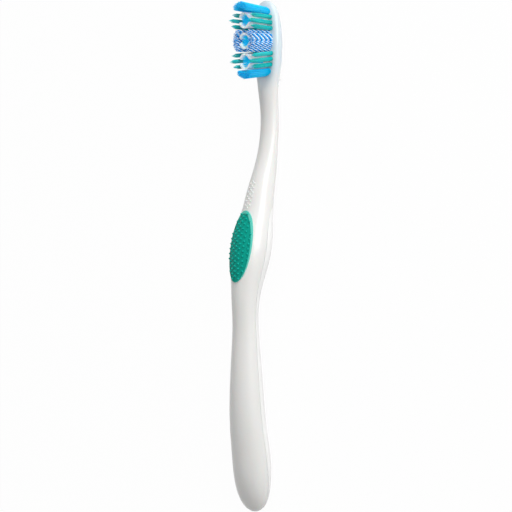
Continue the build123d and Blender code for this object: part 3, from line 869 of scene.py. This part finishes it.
class TOOTHBRUSH_OT_spiral_tufts(Operator):
    """Grow the ring of twisted bristles round the middle cup"""

    bl_idname = "toothbrush.spiral_tufts"
    bl_label = "Twisted tufts"

    def execute(self, context):
        sizes = context.scene.toothbrush_bristles
        material = twisted_nylon(context.scene.toothbrush_finish)
        place = head_place()
        tree = bundle_tree("twisted_bundle", TWIST_STRANDS, TWIST_STEPS, TWIST_SIDES)
        for side, sign in SIDES.items():
            node = f"spiral_tuft_{side}"
            base = arc_base(node, place, 0, sizes.ring_radius, sign * math.pi / 2,
                            sizes.ring_half_angle, sizes.ring_thickness, sizes.ring_splay,
                            sizes.twist_slant)
            values = bundle_values(sizes, material, place, node, SEEDS["ring"] + sign,
                                   sizes.jitter)
            values["Spacing"] = sizes.twist_spacing
            values["Radius"] = sizes.strand / 2
            values["Twist Radius"] = STRAND_REACH * sizes.strand
            values["Turns"] = values["Height"] / sizes.twist_pitch
            settle(grown(tree, f"twisted_bristles_{side}", base, values), "spiral_bristles", node)
        return {"FINISHED"}


class TOOTHBRUSH_OT_nubs(Operator):
    """Set the nubs of the thumb pad and the tongue cleaner, and the raised dots of the handle"""

    bl_idname = "toothbrush.nubs"
    bl_label = "Nubs and dots"

    def execute(self, context):
        sizes = context.scene.toothbrush_grip
        finish = context.scene.toothbrush_finish
        tree = nub_tree()
        low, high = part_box("thumb_grip")
        centre, half = (low + high) / 2, (high - low) / 2
        above = 2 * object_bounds()[1].z

        # the nubs' lighter teal is a painted highlight
        pad = nub_values(sizes, "nub", "thumb_grip",
                         soft_overmould("nub_rubber", finish.teal_nub_highlight))
        pad["Centre"] = (centre.x, centre.y, above)
        pad["Half Length"] = half.x - sizes.nub_margin
        pad["Half Width"] = half.y - sizes.nub_margin
        settle(grown(tree, "thumb_nubs", bpy.data.meshes.new("pad_base"), pad), "thumb_grip")

        # the dots' lighter pearl is a painted highlight
        dots = nub_values(sizes, "dot", "handle_core",
                          pearl_moulding("dot_pearl", finish.dot_highlight_white, finish.dot_highlight_white))
        dots["Centre"] = (high.x + sizes.dot_start + sizes.dot_field / 2, centre.y, above)
        dots["Half Length"] = sizes.dot_field / 2
        dots["Half Width"] = sizes.dot_width / 2
        settle(grown(tree, "handle_dots", bpy.data.meshes.new("dots_base"), dots), "handle")

        studs = nub_values(sizes, "cleaner_nub", "tongue_cleaner",
                           soft_overmould("stud_white", finish.soft_white))
        half_field = sizes.cleaner_nub_field / 2
        neck_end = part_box("tongue_cleaner")[0].x
        studs["Centre"] = (neck_end + half_field + sizes.cleaner_nub, centre.y, -above)
        studs["Towards"] = (0, 0, 1)
        studs["Half Length"] = half_field
        studs["Half Width"] = sizes.cleaner_nub_width / 2
        settle(grown(tree, "cleaner_nubs", bpy.data.meshes.new("studs_base"), studs),
               "tongue_cleaner")
        return {"FINISHED"}


class TOOTHBRUSH_OT_mouldings(Operator):
    """Finish the handle, its soft grips, the tongue cleaner, the cups and the anchors"""

    bl_idname = "toothbrush.mouldings"
    bl_label = "Mouldings"

    def execute(self, context):
        finish = context.scene.toothbrush_finish
        soft_white = soft_overmould("soft_white", finish.soft_white)
        brass = anchor_metal(finish.brass)
        cups = cup_elastomer(finish)
        finishes = {
            "handle_core": pearl_moulding("pearl_moulding", finish.pearl, finish.tuft_light_on_head),
            "back_grip": soft_white,
            "tongue_cleaner": soft_white,
            "thumb_grip": rimmed_overmould("teal_rubber", finish.teal_rubber, finish.teal_rim,
                                           context.scene.toothbrush_grip),
        }
        finishes.update({f"polishing_cup_{cup}": cups for cup in CUPS})
        finishes.update({f"{group}_tuft_anchors": brass for group in ANCHORED})
        for node, material in finishes.items():
            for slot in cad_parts[node].material_slots:
                slot.material = material
        return {"FINISHED"}


# ------------------------------------------------------------------ studio
def seen_directly(make):
    """1 where the camera sees something, also in a reflection or through glass."""
    path = make.add("ShaderNodeLightPath").outputs
    seen = path["Is Camera Ray"]
    for label in ("Is Glossy Ray", "Is Transmission Ray"):
        seen = make.maths("MAXIMUM", seen, path[label])
    return seen


def floor_material(base, shadow_share):
    """A pale floor that looks white and still takes a soft shadow."""
    material = bpy.data.materials.new("studio_floor")
    material.use_nodes = True
    material.node_tree.nodes.clear()
    make = TreeMaker(material.node_tree)
    matt = make.add("ShaderNodeBsdfDiffuse", {"Color": (*base, 1.0)}).outputs[0]
    white = make.add("ShaderNodeEmission", {"Color": (1, 1, 1, 1)}).outputs[0]
    share = make.maths("MULTIPLY", seen_directly(make), 1 - shadow_share)
    mix = make.add("ShaderNodeMixShader", {0: share, 1: matt, 2: white}).outputs[0]
    make.add("ShaderNodeOutputMaterial", {"Surface": mix})
    return material


def studio_world(ambient):
    """Even light from all round, and a white background."""
    world = bpy.data.worlds.new("studio")
    bpy.context.scene.world = world
    world.use_nodes = True
    world.node_tree.nodes.clear()
    make = TreeMaker(world.node_tree)
    lit, white = (make.add("ShaderNodeBackground", {"Color": (1, 1, 1, 1), "Strength": strength})
                  for strength in (ambient, 1.0))
    mix = make.add("ShaderNodeMixShader", {
        0: seen_directly(make), 1: lit.outputs[0], 2: white.outputs[0]}).outputs[0]
    make.add("ShaderNodeOutputWorld", {"Surface": mix})


def studio_floor(base, shadow_share):
    """A wide floor under the brush."""
    mesh = bpy.data.meshes.new("studio_floor")
    corners = [(x * FLOOR_REACH, y * FLOOR_REACH, 0)
               for x, y in ((-1, -1), (1, -1), (1, 1), (-1, 1))]
    mesh.from_pydata(corners, [], [(0, 1, 2, 3)])
    mesh.materials.append(floor_material(base, shadow_share))
    floor = bpy.data.objects.new("studio_floor", mesh)
    bpy.context.scene.collection.objects.link(floor)
    floor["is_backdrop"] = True


def area_lamp(name, target, direction, distance, size, power):
    """A square soft lamp that points at the brush."""
    light = bpy.data.lights.new(name, "AREA")
    light.size = size
    light.energy = power
    lamp = bpy.data.objects.new(name, light)
    direction = Vector(direction).normalized()
    lamp.location = target + direction * distance
    lamp.rotation_euler = direction.to_track_quat("Z", "Y").to_euler()
    bpy.context.scene.collection.objects.link(lamp)


def photo_camera(studio, target):
    """The camera over the near side, with the head of the brush at the top of its picture."""
    toward = Vector((0, -math.cos(studio.elevation), math.sin(studio.elevation)))
    across = Vector((0, -math.sin(studio.elevation), -math.cos(studio.elevation)))
    along = Vector((1, 0, 0))
    right = math.cos(studio.lean) * across + math.sin(studio.lean) * along
    up = math.cos(studio.lean) * along - math.sin(studio.lean) * across
    turn = Matrix((right, up, toward)).transposed().to_4x4()
    data = bpy.data.cameras.new("photo_camera")
    data.lens = studio.lens
    data.sensor_width = SENSOR_WIDTH
    data.clip_start = CLIP_START
    data.clip_end = CLIP_END
    camera = bpy.data.objects.new("photo_camera", data)
    camera.matrix_world = Matrix.Translation(target + toward * studio.distance) @ turn
    bpy.context.scene.collection.objects.link(camera)
    return camera


class TOOTHBRUSH_OT_stage(Operator):
    """Set up the floor, the lamps, the background and the camera"""

    bl_idname = "toothbrush.stage"
    bl_label = "Stage"

    def execute(self, context):
        studio = context.scene.toothbrush_studio
        middle = Vector((0, 0, studio.aim))
        studio_floor(studio.floor_white, studio.floor_shadow)
        studio_world(studio.ambient)
        for name, (direction, distance, size) in LAMPS.items():
            power = getattr(studio, f"{name}_power")
            area_lamp(f"{name}_lamp", middle, direction, distance, size, power)
        context.scene.camera = photo_camera(studio, middle)
        context.scene.view_settings.view_transform = "Standard"
        return {"FINISHED"}


# ------------------------------------------------------------------ add-on
OPERATORS = (
    TOOTHBRUSH_OT_mouldings,
    TOOTHBRUSH_OT_side_tufts,
    TOOTHBRUSH_OT_cup_tufts,
    TOOTHBRUSH_OT_end_tufts,
    TOOTHBRUSH_OT_spiral_tufts,
    TOOTHBRUSH_OT_nubs,
    TOOTHBRUSH_OT_stage,
)
SETTINGS = {
    "toothbrush_bristles": BristleSettings,
    "toothbrush_grip": GripSettings,
    "toothbrush_finish": FinishSettings,
    "toothbrush_studio": StudioSettings,
}


class TOOTHBRUSH_PT_panel(Panel):
    """Steps and sizes of the toothbrush"""

    bl_idname = "TOOTHBRUSH_PT_panel"
    bl_label = "Manual Toothbrush"
    bl_space_type = "VIEW_3D"
    bl_region_type = "UI"
    bl_category = "Toothbrush"

    def draw(self, context):
        layout = self.layout
        for operator in OPERATORS:
            layout.operator(operator.bl_idname)
        for name, group in SETTINGS.items():
            box = layout.box()
            box.label(text=group.__doc__)
            for key in group.__annotations__:
                box.prop(getattr(context.scene, name), key)


def register():
    """Adds the settings, the operators and the panel."""
    for group in SETTINGS.values():
        bpy.utils.register_class(group)
    for name, group in SETTINGS.items():
        setattr(bpy.types.Scene, name, PointerProperty(type=group))
    for operator in OPERATORS:
        bpy.utils.register_class(operator)
    bpy.utils.register_class(TOOTHBRUSH_PT_panel)


def unregister():
    """Takes them away again."""
    bpy.utils.unregister_class(TOOTHBRUSH_PT_panel)
    for operator in reversed(OPERATORS):
        bpy.utils.unregister_class(operator)
    for name, group in SETTINGS.items():
        delattr(bpy.types.Scene, name)
        bpy.utils.unregister_class(group)


def main():
    """Dresses the brush and sets the stage."""
    register()
    bpy.ops.toothbrush.mouldings()
    bpy.ops.toothbrush.side_tufts()
    bpy.ops.toothbrush.cup_tufts()
    bpy.ops.toothbrush.end_tufts()
    bpy.ops.toothbrush.spiral_tufts()
    bpy.ops.toothbrush.nubs()
    bpy.ops.toothbrush.stage()


if __name__ == "__main__":
    main()
